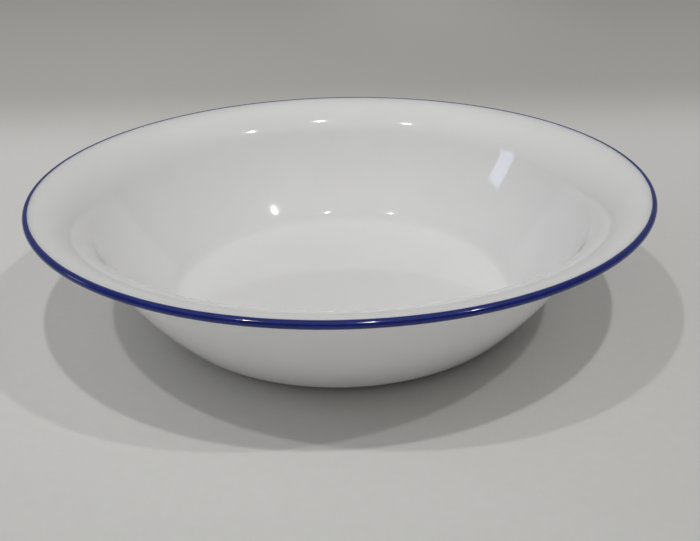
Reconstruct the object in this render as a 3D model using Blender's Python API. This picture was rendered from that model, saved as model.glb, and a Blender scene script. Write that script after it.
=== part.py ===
"""A thin-walled cereal bowl of white glass with a flared rim and a blue enamel band on its lip.

The bowl stands on the plane z = 0 with its axis on +Z. Lengths are in metres, and slopes are angles above
level. Both pieces are turned: an outline is drawn in the X-Z plane, from arcs, and spun about the axis.
"""

import math

import bmesh
import bpy
from mathutils import Vector

MM = 0.001

# Overall size
RIM_DIAMETER = 183.5 * MM
HEIGHT = 42.25 * MM

# Inside of the bowl, from the floor out to the lip
FLOOR_DIAMETER = 105.0 * MM
CORNER_RADIUS = 6.3 * MM
WALL_RADIUS = 102.5 * MM
FLARE_RADIUS = 18.3 * MM
BRIM_SLOPE = math.radians(8.0)
BRIM_RADIUS = 33.0 * MM
LIP_SLOPE = math.radians(4.6)

# Glass thickness, at the floor and lower wall and at the edge inside the band
SHELL_THICKNESS = 2.6 * MM
EDGE_THICKNESS = 1.0 * MM

# Foot ring under the floor
FOOT_DIAMETER = 98.0 * MM
FOOT_HEIGHT = 0.65 * MM
FOOT_FACE_WIDTH = 2.4 * MM
FOOT_RAMP_WIDTH = 1.6 * MM

# Enamel band, which wraps the lip; each reach is measured inwards from the rim's outermost edge
BAND_THICKNESS = 0.15 * MM
BAND_CLEARANCE = 0.3 * MM
BAND_TOP_REACH = 1.45 * MM
BAND_UNDER_REACH = 1.3 * MM

# Facets
TURN_STEPS = 72
CORNER_STEPS = 7
WALL_STEPS = 4
FLARE_STEPS = 7
BRIM_STEPS = 2
LIP_STEPS = 6
RAMP_STEPS = 4
WELD_DISTANCE = 0.001 * MM
SHARP_ANGLE = math.radians(35.0)

# Colours are linear RGBA
GLASS_COLOUR = (0.80, 0.80, 0.77, 1.0)
ENAMEL_COLOUR = (0.010, 0.018, 0.145, 1.0)
GLASS_ROUGHNESS = 0.06
ENAMEL_ROUGHNESS = 0.16

# What follows from the sizes above: the rim carries the glass edge with band and clearance on both faces
RIM_THICKNESS = EDGE_THICKNESS + 2 * (BAND_CLEARANCE + BAND_THICKNESS)
RIM_RADIUS = RIM_DIAMETER / 2
FLOOR_RADIUS = FLOOR_DIAMETER / 2
FLOOR_TOP = FOOT_HEIGHT + SHELL_THICKNESS
REBATE = BAND_THICKNESS + BAND_CLEARANCE


def upward(slope):
    """Unit normal, on the upper side, of a line that climbs outwards at this slope."""
    return Vector((-math.sin(slope), math.cos(slope)))


# Centres of the arcs, as (radius, height): lip end, brim, flare and floor corner.
# The flare eases into the brim at the brim's slope.
LIP_CENTRE = Vector((RIM_RADIUS - RIM_THICKNESS / 2, HEIGHT - RIM_THICKNESS / 2))
BRIM_CENTRE = LIP_CENTRE - (BRIM_RADIUS - RIM_THICKNESS / 2) * upward(LIP_SLOPE)
FLARE_CENTRE = BRIM_CENTRE + (BRIM_RADIUS - FLARE_RADIUS) * upward(BRIM_SLOPE)
CORNER_CENTRE = Vector((FLOOR_RADIUS, FLOOR_TOP + CORNER_RADIUS))


def arc(centre, radius, first, last, steps):
    """Points of an arc whose radius turns from one slope's upward normal to another's."""
    slopes = [first + (last - first) * i / steps for i in range(steps + 1)]
    return [centre + radius * upward(slope) for slope in slopes]


def slope_of(normal):
    """Slope of the line that has this upward normal."""
    return math.atan2(-normal.x, normal.y)


def wall_centre(corner_radius, wall_radius, flare_radius):
    """Centre of the hollow wall arc that runs on from the floor corner and turns over into the flare."""
    across = FLARE_CENTRE - CORNER_CENTRE
    from_corner = wall_radius - corner_radius
    from_flare = wall_radius + flare_radius
    along = (across.length_squared + from_corner ** 2 - from_flare ** 2) / (2 * across.length)
    aside = math.sqrt(from_corner ** 2 - along ** 2)
    direction = across.normalized()
    return CORNER_CENTRE + along * direction + aside * Vector((-direction.y, direction.x))


def side(floor_depth, rim_depth):
    """Floor corner, wall and flare of one face, which lies deeper than the inner face by these depths."""
    corner_radius = CORNER_RADIUS + floor_depth
    wall_radius = WALL_RADIUS + floor_depth
    flare_radius = FLARE_RADIUS - rim_depth
    centre = wall_centre(corner_radius, wall_radius, flare_radius)
    foot_slope = slope_of(centre - CORNER_CENTRE)
    top_slope = slope_of(centre - FLARE_CENTRE)
    points = arc(CORNER_CENTRE, -corner_radius, 0, foot_slope, CORNER_STEPS)
    points += arc(centre, -wall_radius, foot_slope, top_slope, WALL_STEPS)
    points += arc(FLARE_CENTRE, flare_radius, top_slope, BRIM_SLOPE, FLARE_STEPS)
    return points


def slope_at(depth, reach):
    """Slope of the brim where the face at this depth lies the given reach inside the rim's edge."""
    return math.asin((BRIM_CENTRE.x - (RIM_RADIUS - reach)) / (BRIM_RADIUS - depth))


def brim(depth, first, last):
    """Stretch of the brim at a depth below the upper face."""
    return arc(BRIM_CENTRE, BRIM_RADIUS - depth, first, last, BRIM_STEPS)


def lip_end(inset):
    """Half-round end of the lip, from its upper face round to its lower face."""
    return arc(LIP_CENTRE, RIM_THICKNESS / 2 - inset, LIP_SLOPE, LIP_SLOPE - math.pi, LIP_STEPS)


def foot_ring():
    """Underside of the foot ring from its outer ramp to its inner one, as smooth cosine ramps."""
    middle = FOOT_DIAMETER / 2
    half_face = FOOT_FACE_WIDTH / 2
    ramp = []
    for i in range(RAMP_STEPS + 1):
        turn = math.pi * i / RAMP_STEPS
        ramp.append((half_face + FOOT_RAMP_WIDTH * i / RAMP_STEPS, FOOT_HEIGHT * (1 - math.cos(turn)) / 2))
    outer = [Vector((middle + offset, height)) for offset, height in reversed(ramp)]
    inner = [Vector((middle - offset, height)) for offset, height in ramp]
    return outer + inner


def bowl_outline():
    """Outline of the glass, from the middle of the floor up the inside, over the lip and down outside."""
    under = RIM_THICKNESS
    top_shoulder = slope_at(0, BAND_TOP_REACH + BAND_CLEARANCE)
    under_shoulder = slope_at(under, BAND_UNDER_REACH + BAND_CLEARANCE)

    points = [Vector((0, FLOOR_TOP))]
    points += side(0, 0)
    points += brim(0, BRIM_SLOPE, top_shoulder)
    points += brim(REBATE, top_shoulder, LIP_SLOPE)
    points += lip_end(REBATE)
    points += brim(under - REBATE, LIP_SLOPE, under_shoulder)
    points += brim(under, under_shoulder, BRIM_SLOPE)
    points += reversed(side(SHELL_THICKNESS, under))
    points += foot_ring()
    points.append(Vector((0, FOOT_HEIGHT)))
    return points


def band_outline():
    """Outline of the band, over the lip from its upper edge to its lower edge and back on its inside."""
    under = RIM_THICKNESS
    top_edge = slope_at(0, BAND_TOP_REACH)
    under_edge = slope_at(under, BAND_UNDER_REACH)

    points = brim(0, top_edge, LIP_SLOPE)
    points += lip_end(0)
    points += brim(under, LIP_SLOPE, under_edge)
    points += brim(under - BAND_THICKNESS, under_edge, LIP_SLOPE)
    points += reversed(lip_end(BAND_THICKNESS))
    points += brim(BAND_THICKNESS, LIP_SLOPE, top_edge)
    points.append(points[0])
    return points


def without_repeats(points):
    """The points with each one that falls on the point before it left out."""
    kept = [points[0]]
    for point in points[1:]:
        if (point - kept[-1]).length > WELD_DISTANCE:
            kept.append(point)
    return kept


def turned(name, outline, material, parent):
    """An object made by spinning an outline about the Z axis."""
    shape = bmesh.new()
    verts = [shape.verts.new((point.x, 0, point.y)) for point in without_repeats(outline)]
    edges = [shape.edges.new(pair) for pair in zip(verts, verts[1:])]
    bmesh.ops.spin(shape, geom=verts + edges, axis=(0, 0, 1), cent=(0, 0, 0), angle=math.tau,
                   steps=TURN_STEPS, use_merge=True)
    bmesh.ops.remove_doubles(shape, verts=shape.verts, dist=WELD_DISTANCE)
    bmesh.ops.recalc_face_normals(shape, faces=shape.faces)
    mesh = bpy.data.meshes.new(name)
    shape.to_mesh(mesh)
    shape.free()
    mesh.materials.append(material)
    mesh.shade_smooth()
    mesh.set_sharp_from_angle(angle=SHARP_ANGLE)
    piece = bpy.data.objects.new(name, mesh)
    piece.parent = parent
    bpy.context.scene.collection.objects.link(piece)
    return piece


def finish(name, colour, roughness):
    """A Principled material of one colour."""
    material = bpy.data.materials.new(name)
    material.use_nodes = True
    shader = material.node_tree.nodes["Principled BSDF"]
    shader.inputs["Base Color"].default_value = colour
    shader.inputs["Roughness"].default_value = roughness
    shader.inputs["Metallic"].default_value = 0.0
    material.diffuse_color = colour
    return material


def clear_scene():
    for item in list(bpy.data.objects):
        bpy.data.objects.remove(item, do_unlink=True)


def main():
    clear_scene()
    bowl = bpy.data.objects.new("cereal_bowl", None)
    bpy.context.scene.collection.objects.link(bowl)
    glass = finish("white_glass", GLASS_COLOUR, GLASS_ROUGHNESS)
    enamel = finish("blue_enamel", ENAMEL_COLOUR, ENAMEL_ROUGHNESS)
    turned("bowl_body", bowl_outline(), glass, bowl)
    turned("rim_band", band_outline(), enamel, bowl)


main()
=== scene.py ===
"""Looks for the cereal bowl: white pressed glass with a flared rim and a blue enamel band on its lip.

Lengths are in metres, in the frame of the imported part: the bowl stands on z = 0 with its axis on +Z.
Slopes are angles above level. Colours are linear RGB. The scale of a noise is about its number of
features in a metre.
"""

import math

import bpy
from mathutils import Matrix, Vector


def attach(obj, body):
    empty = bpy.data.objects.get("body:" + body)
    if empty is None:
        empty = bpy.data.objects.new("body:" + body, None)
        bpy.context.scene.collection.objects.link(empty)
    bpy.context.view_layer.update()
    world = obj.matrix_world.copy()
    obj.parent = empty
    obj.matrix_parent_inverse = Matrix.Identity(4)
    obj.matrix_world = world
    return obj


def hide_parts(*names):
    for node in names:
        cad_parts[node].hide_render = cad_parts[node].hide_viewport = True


MM = 0.001

# Sizes of the bowl, as in the part
RIM_DIAMETER = 183.5 * MM
HEIGHT = 42.25 * MM
FLOOR_DIAMETER = 105.0 * MM
CORNER_RADIUS = 6.3 * MM
WALL_RADIUS = 102.5 * MM
FLARE_RADIUS = 18.3 * MM
BRIM_SLOPE = math.radians(8.0)
BRIM_RADIUS = 33.0 * MM
LIP_SLOPE = math.radians(4.6)
SHELL_THICKNESS = 2.6 * MM
RIM_THICKNESS = 1.9 * MM
FOOT_DIAMETER = 98.0 * MM
FOOT_HEIGHT = 0.65 * MM
FOOT_FACE_WIDTH = 2.4 * MM
FOOT_RAMP_WIDTH = 1.6 * MM
BAND_TOP_REACH = 1.45 * MM
BAND_UNDER_REACH = 1.3 * MM

# The enamel is a thin coat: it starts a little inside the glass and stands a little proud of it
COAT_PROUD = 0.04 * MM
COAT_DEPTH = 0.03 * MM

# Its two edges wander by this much, in three sets of waves round the rim. A set is given as its number of
# waves and what its edge's shift is multiplied by.
COAT_WANDER = 0.05 * MM
WANDER_WAVES = ((7, 1.0), (17, 2.3), (41, 3.7))
TOP_EDGE_SHIFT = 0.4
UNDER_EDGE_SHIFT = 1.9

# Fineness of the turned meshes, and the distance within which two points of an outline are one
TURN_STEPS = 360
FLOOR_RINGS = 10
CORNER_STEPS = 18
WALL_STEPS = 14
FLARE_STEPS = 36
BRIM_STEPS = 12
LIP_STEPS = 16
RAMP_STEPS = 8
SAME_POINT = 0.0001 * MM

# Ranges: a share that rises or falls, and where most values of a noise lie
RISING = (0.0, 1.0)
FALLING = (1.0, 0.0)
NOISE_RANGE = (0.3, 0.7)
HIGH_NOISE_RANGE = (0.35, 0.75)

# White glass: clouds in its colour, a polish that is worn off the ground foot, and waves from the press
GLASS_COLOUR = (0.898, 0.898, 0.893)
GLASS_TINTS = (0.985, 1.01)
GLASS_ROUGHNESS = (0.045, 0.085)
GLASS_IOR = 1.5
CLOUD_SCALE = 40.0
POLISH_SCALE = 130.0
GROUND_ROUGHNESS = 0.45
GROUND_HEIGHT = FOOT_HEIGHT / 3
PRESS_WAVE_SCALE = 35.0
PRESS_WAVE_HEIGHT = 0.006 * MM
SCATTERED_SHARE = 0.8
SCATTER_DEPTH = 4.0 * MM

# Blue enamel: mottled, and thin along its inner edge
ENAMEL_COLOUR = (0.0055, 0.0155, 0.168)
ENAMEL_TINTS = (0.85, 1.25)
ENAMEL_ROUGHNESS = (0.06, 0.12)
ENAMEL_IOR = 1.5
THIN_ENAMEL_COLOUR = (0.050, 0.085, 0.300)
THIN_EDGE_WIDTH = 0.35 * MM
MOTTLE_SCALE = 420.0
GLOSS_SCALE = 900.0
RIPPLE_SCALE = 700.0
RIPPLE_HEIGHT = 0.004 * MM

# Floor of pale paper, just below the foot
FLOOR_HALF_WIDTH = 4.0
FLOOR_DROP = 0.05 * MM
PAPER_ROUGHNESS = 0.9
PAPER_SPECULAR = 0.2
PAPER_GRAIN_SCALE = 350.0
PAPER_GRAIN = (0.985, 1.015)

# Paper colour with painted light and shade: darker at the front, lightest near the bowl, darker far behind
# it, and painted shade that grows from left to right. Also the depths between which each tone gives way to
# the next, and the change from left to right
FRONT_PAINTED_SHADE_COLOUR = (0.705, 0.701, 0.684)
MIDDLE_PAINTED_LIGHT_COLOUR = (0.805, 0.799, 0.780)
BACK_PAINTED_SHADE_COLOUR = (0.590, 0.571, 0.540)
FRONT_TO_MIDDLE = (-0.12, 0.14)
MIDDLE_TO_BACK = (0.15, 0.30)
LEFT_TO_RIGHT = (-0.15, 0.15)
SIDE_PAINTED_SHADE = (1.05, 0.94)

# A painted pool of light on the far paper: its middle, its reach each way and how much lighter it makes the
# paper
PAINTED_POOL_MIDDLE = Vector((105, 720, 0)) * MM
PAINTED_POOL_REACH = Vector((200, 430, 1000)) * MM
PAINTED_POOL_LIGHT = 1.19

# Camera, from the rim, the shadows and the highlights in the photograph
PICTURE_WIDTH = 700
FOCAL_PIXELS = 760.12
SENSOR_WIDTH = 36.0
CAMERA_PLACE = Vector((1.37, -222.50, 120.08)) * MM
CAMERA_PITCH = math.radians(26.798)
CAMERA_YAW = math.radians(0.289)
CAMERA_ROLL = math.radians(-1.117)
CLIP_START = 0.01

# Three small room lamps above the table: place, and power in watts
LAMP_WIDTH = 56.0 * MM
LAMPS = (
    ("left_lamp", Vector((-662, -508, 1601)) * MM, 4.2),
    ("middle_lamp", Vector((174, -539, 1601)) * MM, 4.85),
    ("right_lamp", Vector((989, -544, 1601)) * MM, 4.4),
)

# A small window at the left, which shows as a bluish patch in the right wall
WINDOW_PLACE = Vector((-1922, 316, 844)) * MM
WINDOW_SIZE = (0.290, 0.386)
WINDOW_TILT = math.radians(9.0)
WINDOW_COLOUR = (0.85, 1.0, 1.35)
WINDOW_POWER = 1.07

# Soft light of the room, as broad glows: azimuth and elevation in degrees, and strength
GLOWS = (
    (0, 50, 0.300),
    (180, 50, 0.230),
    (225, 50, 0.335),
    (270, 50, 0.070),
    (90, 12, 0.120),
    (180, 12, 0.165),
)
GLOW_FOCUS = 4.0
ROOM_COLOUR = (1.0, 0.99, 0.97, 1.0)

# Brightness of the backdrop to the camera, and of what the gloss mirrors of the room and its ceiling.
# The ranges are of a unit direction's Y, from front to back, and of its Z, where the ceiling begins.
BACKDROP = 0.30
MIRRORED_ROOM = (0.08, 0.22)
MIRRORED_CEILING = 0.50
FRONT_TO_BACK = (-0.5, 0.5)
WALL_TO_CEILING = (0.6, 0.85)

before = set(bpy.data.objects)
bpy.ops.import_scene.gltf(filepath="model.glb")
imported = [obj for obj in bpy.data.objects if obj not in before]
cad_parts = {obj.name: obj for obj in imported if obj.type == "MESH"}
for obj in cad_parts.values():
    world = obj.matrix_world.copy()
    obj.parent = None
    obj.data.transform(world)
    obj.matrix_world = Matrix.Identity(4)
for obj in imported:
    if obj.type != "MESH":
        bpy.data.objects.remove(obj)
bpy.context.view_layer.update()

RIM_RADIUS = RIM_DIAMETER / 2
FLOOR_RADIUS = FLOOR_DIAMETER / 2
FLOOR_TOP = FOOT_HEIGHT + SHELL_THICKNESS


def upward(slope):
    """Unit normal, on the upper side, of a line that climbs outwards at this slope."""
    return Vector((-math.sin(slope), math.cos(slope)))


# Centres of the arcs, as (radius, height): lip end, brim, flare and floor corner
LIP_CENTRE = Vector((RIM_RADIUS - RIM_THICKNESS / 2, HEIGHT - RIM_THICKNESS / 2))
BRIM_CENTRE = LIP_CENTRE - (BRIM_RADIUS - RIM_THICKNESS / 2) * upward(LIP_SLOPE)
FLARE_CENTRE = BRIM_CENTRE + (BRIM_RADIUS - FLARE_RADIUS) * upward(BRIM_SLOPE)
CORNER_CENTRE = Vector((FLOOR_RADIUS, FLOOR_TOP + CORNER_RADIUS))


def arc(centre, radius, first, last, steps):
    """Points of an arc whose radius turns from one slope's upward normal to another's."""
    slopes = [first + (last - first) * i / steps for i in range(steps + 1)]
    return [centre + radius * upward(slope) for slope in slopes]


def between(first, last, steps):
    """Points inside a straight run, without its ends."""
    return [first.lerp(last, i / steps) for i in range(1, steps)]


def slope_of(normal):
    """Slope of the line that has this upward normal."""
    return math.atan2(-normal.x, normal.y)


def wall_centre(corner_radius, wall_radius, flare_radius):
    """Centre of the hollow wall arc that runs on from the floor corner and turns over into the flare."""
    across = FLARE_CENTRE - CORNER_CENTRE
    from_corner = wall_radius - corner_radius
    from_flare = wall_radius + flare_radius
    along = (across.length_squared + from_corner ** 2 - from_flare ** 2) / (2 * across.length)
    aside = math.sqrt(from_corner ** 2 - along ** 2)
    direction = across.normalized()
    return CORNER_CENTRE + along * direction + aside * Vector((-direction.y, direction.x))


def side(floor_depth, rim_depth):
    """Floor corner, wall and flare of one face, which lies deeper than the inner face by these depths."""
    corner_radius = CORNER_RADIUS + floor_depth
    wall_radius = WALL_RADIUS + floor_depth
    flare_radius = FLARE_RADIUS - rim_depth
    centre = wall_centre(corner_radius, wall_radius, flare_radius)
    foot_slope = slope_of(centre - CORNER_CENTRE)
    top_slope = slope_of(centre - FLARE_CENTRE)
    points = arc(CORNER_CENTRE, -corner_radius, 0, foot_slope, CORNER_STEPS)
    points += arc(centre, -wall_radius, foot_slope, top_slope, WALL_STEPS)
    points += arc(FLARE_CENTRE, flare_radius, top_slope, BRIM_SLOPE, FLARE_STEPS)
    return points


def slope_at(depth, reach):
    """Slope of the brim where the face at this depth lies the given reach inside the rim's edge."""
    return math.asin((BRIM_CENTRE.x - (RIM_RADIUS - reach)) / (BRIM_RADIUS - depth))


def brim(depth, first, last):
    """Stretch of the brim at a depth below the part's upper face."""
    return arc(BRIM_CENTRE, BRIM_RADIUS - depth, first, last, BRIM_STEPS)


def lip_end(inset):
    """Half-round end of the lip, from its upper face round to its lower face."""
    return arc(LIP_CENTRE, RIM_THICKNESS / 2 - inset, LIP_SLOPE, LIP_SLOPE - math.pi, LIP_STEPS)


def foot_ramp():
    """Half of the foot ring's underside, as offsets from its middle and heights."""
    points = []
    for i in range(RAMP_STEPS + 1):
        share = i / RAMP_STEPS
        height = FOOT_HEIGHT * (1 - math.cos(math.pi * share)) / 2
        points.append((FOOT_FACE_WIDTH / 2 + FOOT_RAMP_WIDTH * share, height))
    return points


def shell_outline():
    """Outline of the glass, from the middle of the floor up the inside, over the lip and down outside."""
    under = RIM_THICKNESS - COAT_PROUD
    inside = side(0, COAT_PROUD)
    outside = side(SHELL_THICKNESS, under)
    middle = FOOT_DIAMETER / 2
    foot = [Vector((middle + offset, height)) for offset, height in reversed(foot_ramp())]
    foot += [Vector((middle - offset, height)) for offset, height in foot_ramp()]

    floor_middle = Vector((0, FLOOR_TOP))
    base_middle = Vector((0, FOOT_HEIGHT))
    points = [floor_middle] + between(floor_middle, inside[0], FLOOR_RINGS) + inside
    points += brim(COAT_PROUD, BRIM_SLOPE, LIP_SLOPE)
    points += lip_end(COAT_PROUD)
    points += brim(under, LIP_SLOPE, BRIM_SLOPE)
    points += reversed(outside)
    points += foot + between(foot[-1], base_middle, FLOOR_RINGS) + [base_middle]
    return points


def wander(turn, shift):
    """Slow unevenness of the band's edge round the rim, from -1 to 1."""
    swings = [math.sin(waves * turn + pace * shift) for waves, pace in WANDER_WAVES]
    return sum(swings) / len(swings)


def band_outline(turn):
    """Closed outline of the enamel coat at one place round the rim."""
    under = RIM_THICKNESS
    sunk = COAT_PROUD + COAT_DEPTH
    top_edge = slope_at(0, BAND_TOP_REACH + COAT_WANDER * wander(turn, TOP_EDGE_SHIFT))
    under_edge = slope_at(under, BAND_UNDER_REACH + COAT_WANDER * wander(turn, UNDER_EDGE_SHIFT))
    points = brim(0, top_edge, LIP_SLOPE)
    points += lip_end(0)
    points += brim(under, LIP_SLOPE, under_edge)
    points += brim(under - sunk, under_edge, LIP_SLOPE)
    points += reversed(lip_end(sunk))
    points += brim(sunk, LIP_SLOPE, top_edge)
    return points


def without_repeats(points):
    """The points with each one that falls on the point before it left out."""
    kept = [points[0]]
    for point in points[1:]:
        if (point - kept[-1]).length > SAME_POINT:
            kept.append(point)
    return kept


def placed(name, data):
    """A new object in the scene that shows this data."""
    item = bpy.data.objects.new(name, data)
    bpy.context.scene.collection.objects.link(item)
    return item


def turned(name, outline_at, closed, material):
    """A body of revolution from the outline at each turn; an open outline starts and ends on the axis."""
    rings = []
    for i in range(TURN_STEPS):
        turn = math.tau * i / TURN_STEPS
        outline = without_repeats(outline_at(turn))
        rings.append([(p.x * math.cos(turn), p.x * math.sin(turn), p.y) for p in outline])
    count = len(rings[0])
    verts = []
    index = {}
    for i, ring in enumerate(rings):
        for j, point in enumerate(ring):
            on_axis = not closed and j in (0, count - 1)
            if on_axis and i > 0:
                index[i, j] = index[0, j]
                continue
            index[i, j] = len(verts)
            verts.append(point)
    faces = []
    for i in range(TURN_STEPS):
        next_i = (i + 1) % TURN_STEPS
        for j in range(count if closed else count - 1):
            next_j = (j + 1) % count
            corners = [index[i, j], index[i, next_j], index[next_i, next_j], index[next_i, j]]
            faces.append(list(dict.fromkeys(corners)))
    mesh = bpy.data.meshes.new(name)
    mesh.from_pydata(verts, [], faces)
    mesh.validate()
    mesh.shade_smooth()
    mesh.materials.append(material)
    return placed(name, mesh)


class Nodes:
    """Short calls for the nodes of a material or of the world."""

    def __init__(self, owner, shader="Principled BSDF"):
        owner.use_nodes = True
        self.owner = owner
        self.tree = owner.node_tree
        self.shader = self.tree.nodes[shader]

    def add(self, kind, **settings):
        node = self.tree.nodes.new(kind)
        for key, value in settings.items():
            setattr(node, key, value)
        return node

    def join(self, source, target):
        self.tree.links.new(source, target)

    def place(self):
        """Place in the object's own axes."""
        return self.add("ShaderNodeTexCoord").outputs["Object"]

    def axis(self, vector, letter):
        node = self.add("ShaderNodeSeparateXYZ")
        self.join(vector, node.inputs["Vector"])
        return node.outputs[letter]

    def vector(self, operation, source, other=None, output="Vector"):
        """A vector worked out from another one and, where given, a fixed one."""
        node = self.add("ShaderNodeVectorMath", operation=operation)
        self.join(source, node.inputs[0])
        if other is not None:
            node.inputs[1].default_value = other
        return node.outputs[output]

    def along(self, vector, direction):
        """How far a vector reaches in a direction."""
        return self.vector("DOT_PRODUCT", vector, direction, "Value")

    def radius(self, vector):
        """Distance from the Z axis."""
        return self.vector("LENGTH", self.vector("MULTIPLY", vector, (1.0, 1.0, 0.0)), output="Value")

    def spread(self, vector, middle, reach):
        """Distance from a middle, as a share of a reach that differs from axis to axis."""
        moved = self.vector("SUBTRACT", vector, middle)
        return self.vector("LENGTH", self.vector("DIVIDE", moved, reach), output="Value")

    def noise(self, vector, scale, detail=3.0, roughness=0.5):
        node = self.add("ShaderNodeTexNoise")
        node.inputs["Scale"].default_value = scale
        node.inputs["Detail"].default_value = detail
        node.inputs["Roughness"].default_value = roughness
        self.join(vector, node.inputs["Vector"])
        return node.outputs["Fac"]

    def span(self, value, source, target, ease="LINEAR"):
        """A value carried over from one range to another, and held at its ends."""
        node = self.add("ShaderNodeMapRange", clamp=True, interpolation_type=ease)
        self.join(value, node.inputs["Value"])
        for key, number in zip(("From Min", "From Max", "To Min", "To Max"), (*source, *target)):
            node.inputs[key].default_value = number
        return node.outputs["Result"]

    def combine(self, operation, first, second):
        """A value worked out from another one and a second, which may be a fixed number."""
        node = self.add("ShaderNodeMath", operation=operation)
        self.join(first, node.inputs[0])
        if isinstance(second, (int, float)):
            node.inputs[1].default_value = second
        else:
            self.join(second, node.inputs[1])
        return node.outputs["Value"]

    def blend(self, share, first, second):
        """A colour between two others, each of which may be fixed."""
        node = self.add("ShaderNodeMix", data_type="RGBA")
        self.join(share, node.inputs["Factor"])
        for key, colour in (("A", first), ("B", second)):
            socket = next(s for s in node.inputs if s.name == key and s.type == "RGBA")
            if isinstance(colour, tuple):
                socket.default_value = (*colour, 1.0)
            else:
                self.join(colour, socket)
        return next(s for s in node.outputs if s.type == "RGBA")

    def scaled(self, colour, factor):
        node = self.add("ShaderNodeVectorMath", operation="SCALE")
        self.join(colour, node.inputs[0])
        self.join(factor, node.inputs["Scale"])
        return node.outputs["Vector"]

    def bump(self, height, distance):
        node = self.add("ShaderNodeBump")
        node.inputs["Strength"].default_value = 1.0
        node.inputs["Distance"].default_value = distance
        self.join(height, node.inputs["Height"])
        return node.outputs["Normal"]

    def set(self, **values):
        """Fixed values of the shader's sockets, named with _ for a space."""
        for key, value in values.items():
            self.shader.inputs[key.replace("_", " ")].default_value = value

    def feed(self, key, source):
        """A varying value for one of the shader's sockets."""
        self.join(source, self.shader.inputs[key])


def tinted(colour, factors):
    """The colour made darker or lighter by each factor, with no channel above 1."""
    return [tuple(min(1.0, channel * factor) for channel in colour) for factor in factors]


def white_glass():
    """Opal glass: faint cloudiness and slow press waves under a high polish, and a ground foot."""
    n = Nodes(bpy.data.materials.new("white_glass"))
    place = n.place()
    cloud = n.span(n.noise(place, CLOUD_SCALE), NOISE_RANGE, RISING)
    n.feed("Base Color", n.blend(cloud, *tinted(GLASS_COLOUR, GLASS_TINTS)))
    polish = n.span(n.noise(place, POLISH_SCALE, detail=5.0), HIGH_NOISE_RANGE, GLASS_ROUGHNESS)
    ground = n.span(n.axis(place, "Z"), (0.0, GROUND_HEIGHT), (GROUND_ROUGHNESS, 0.0))
    n.feed("Roughness", n.combine("ADD", polish, ground))
    waves = n.noise(place, PRESS_WAVE_SCALE, detail=0.0)
    n.feed("Normal", n.bump(waves, PRESS_WAVE_HEIGHT))
    n.set(IOR=GLASS_IOR, Subsurface_Weight=SCATTERED_SHARE)
    n.set(Subsurface_Radius=(1.0, 1.0, 1.0), Subsurface_Scale=SCATTER_DEPTH)
    return n.owner


def blue_enamel():
    """Fired cobalt enamel: slightly mottled, and thinner and lighter along its inner edge."""
    n = Nodes(bpy.data.materials.new("blue_enamel"))
    place = n.place()
    mottle = n.span(n.noise(place, MOTTLE_SCALE, detail=4.0, roughness=0.6), HIGH_NOISE_RANGE, RISING)
    body = n.blend(mottle, *tinted(ENAMEL_COLOUR, ENAMEL_TINTS))
    edge = RIM_RADIUS - BAND_TOP_REACH
    thin = n.span(n.radius(place), (edge, edge + THIN_EDGE_WIDTH), FALLING)
    n.feed("Base Color", n.blend(thin, body, THIN_ENAMEL_COLOUR))
    n.feed("Roughness", n.span(n.noise(place, GLOSS_SCALE), NOISE_RANGE, ENAMEL_ROUGHNESS))
    n.feed("Normal", n.bump(n.noise(place, RIPPLE_SCALE, detail=2.0), RIPPLE_HEIGHT))
    n.set(IOR=ENAMEL_IOR)
    return n.owner


def floor_paper_painted_light():
    """Pale seamless paper with painted light and shade: lighter towards the bowl's back, darker behind it
    but for one painted pool of light, and darker to the right.
    """
    n = Nodes(bpy.data.materials.new("floor_paper_painted_light"))
    place = n.place()
    depth = n.axis(place, "Y")
    # Painted light and shade: the paper is darker at the front, lighter near the bowl and darker far behind
    # it
    painted_near_light_and_shade = n.blend(n.span(depth, FRONT_TO_MIDDLE, RISING), FRONT_PAINTED_SHADE_COLOUR, MIDDLE_PAINTED_LIGHT_COLOUR)
    painted_light_and_shade = n.blend(n.span(depth, MIDDLE_TO_BACK, RISING, "SMOOTHSTEP"), painted_near_light_and_shade, BACK_PAINTED_SHADE_COLOUR)
    # Painted shade that darkens the paper from left to right
    across = n.span(n.axis(place, "X"), LEFT_TO_RIGHT, SIDE_PAINTED_SHADE)
    grain = n.span(n.noise(place, PAPER_GRAIN_SCALE, detail=4.0, roughness=0.7), NOISE_RANGE, PAPER_GRAIN)
    # Painted pool of light that makes the far paper lighter in one patch
    patch = n.span(n.spread(place, PAINTED_POOL_MIDDLE, PAINTED_POOL_REACH), RISING, (PAINTED_POOL_LIGHT, 1.0), "SMOOTHSTEP")
    # The paper's own grain, times the painted side shade and the painted pool of light
    grain_and_painted_light = n.combine("MULTIPLY", n.combine("MULTIPLY", across, grain), patch)
    n.feed("Base Color", n.scaled(painted_light_and_shade, grain_and_painted_light))
    n.set(Roughness=PAPER_ROUGHNESS, Specular_IOR_Level=PAPER_SPECULAR)
    return n.owner


def make_floor():
    far = FLOOR_HALF_WIDTH
    corners = [(-far, -far, 0), (far, -far, 0), (far, far, 0), (-far, far, 0)]
    mesh = bpy.data.meshes.new("floor")
    mesh.from_pydata(corners, [], [(0, 1, 2, 3)])
    mesh.materials.append(floor_paper_painted_light())
    floor = placed("floor", mesh)
    floor.location.z = -FLOOR_DROP


def make_lamps():
    for name, place, power in LAMPS:
        data = bpy.data.lights.new(name, "AREA")
        data.shape = "DISK"
        data.size = LAMP_WIDTH
        data.energy = power
        lamp = placed(name, data)
        lamp.location = place
        lamp.rotation_mode = "QUATERNION"
        lamp.rotation_quaternion = (-place).to_track_quat("-Z", "Y")


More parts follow.
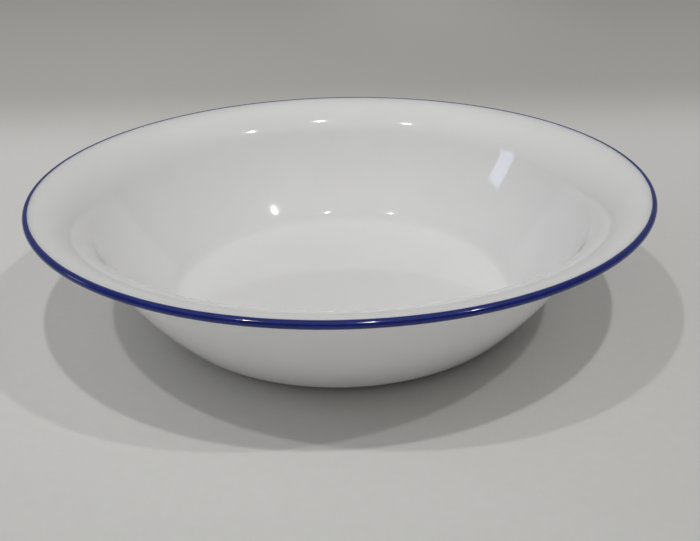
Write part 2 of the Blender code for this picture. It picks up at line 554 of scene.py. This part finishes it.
def make_window():
    data = bpy.data.lights.new("window", "AREA")
    data.shape = "RECTANGLE"
    data.size, data.size_y = WINDOW_SIZE
    data.energy = WINDOW_POWER
    data.color = WINDOW_COLOUR
    window = placed("window", data)
    facing = (-WINDOW_PLACE).to_track_quat("-Z", "Y").to_matrix().to_4x4()
    window.matrix_world = Matrix.Translation(WINDOW_PLACE) @ facing @ Matrix.Rotation(WINDOW_TILT, 4, "Z")


def heading(azimuth, elevation):
    """Unit vector towards an azimuth, from +X towards +Y, and an elevation, both in degrees."""
    around = math.radians(azimuth)
    above = math.radians(elevation)
    return Vector((math.cos(around) * math.cos(above), math.sin(around) * math.cos(above), math.sin(above)))


def make_room_light():
    """Soft light from the room, in front of a plain pale backdrop."""
    n = Nodes(bpy.data.worlds.new("room"), "Background")
    direction = n.add("ShaderNodeTexCoord").outputs["Generated"]
    light = None
    for azimuth, elevation, strength in GLOWS:
        facing = n.combine("MAXIMUM", n.along(direction, heading(azimuth, elevation)), 0.0)
        glow = n.combine("MULTIPLY", n.combine("POWER", facing, GLOW_FOCUS), strength)
        light = n.combine("ADD", light, glow) if light else glow

    rays = n.add("ShaderNodeLightPath").outputs
    seen = n.combine("ADD", rays["Is Camera Ray"], rays["Is Transmission Ray"])
    mirrored = rays["Is Glossy Ray"]
    unseen = n.span(n.combine("ADD", seen, mirrored), RISING, FALLING)
    around = n.span(n.axis(direction, "Y"), FRONT_TO_BACK, MIRRORED_ROOM)
    ceiling = n.span(n.axis(direction, "Z"), WALL_TO_CEILING, (0.0, MIRRORED_CEILING), "SMOOTHSTEP")
    room = n.combine("MAXIMUM", around, ceiling)

    lit = n.combine("MULTIPLY", unseen, light)
    shown = n.combine("MULTIPLY", seen, BACKDROP)
    reflected = n.combine("MULTIPLY", mirrored, room)
    n.feed("Strength", n.combine("ADD", lit, n.combine("ADD", shown, reflected)))
    n.set(Color=ROOM_COLOUR)
    bpy.context.scene.world = n.owner


def make_camera():
    """Camera at the photograph's place and angle."""
    ahead = Vector((
        math.sin(CAMERA_YAW) * math.cos(CAMERA_PITCH),
        math.cos(CAMERA_YAW) * math.cos(CAMERA_PITCH),
        -math.sin(CAMERA_PITCH),
    ))
    level = Vector((math.cos(CAMERA_YAW), -math.sin(CAMERA_YAW), 0))
    above = level.cross(ahead)
    across = math.cos(CAMERA_ROLL) * level + math.sin(CAMERA_ROLL) * above
    upright = math.cos(CAMERA_ROLL) * above - math.sin(CAMERA_ROLL) * level
    data = bpy.data.cameras.new("camera")
    data.sensor_width = SENSOR_WIDTH
    data.lens = SENSOR_WIDTH * FOCAL_PIXELS / PICTURE_WIDTH
    data.clip_start = CLIP_START
    camera = placed("camera", data)
    facing = Matrix((across, upright, -ahead)).transposed().to_4x4()
    camera.matrix_world = Matrix.Translation(CAMERA_PLACE) @ facing
    bpy.context.scene.camera = camera


def make_bowl():
    outline = shell_outline()
    shell = turned("glass_shell", lambda turn: outline, False, white_glass())
    band = turned("enamel_band", band_outline, True, blue_enamel())
    for piece, node, slot in ((shell, "bowl_body", "white_glass"), (band, "rim_band", "blue_enamel")):
        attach(piece, "root")
        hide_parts(node)


bpy.context.scene.view_settings.view_transform = "Standard"
make_bowl()
make_floor()
make_lamps()
make_window()
make_room_light()
make_camera()
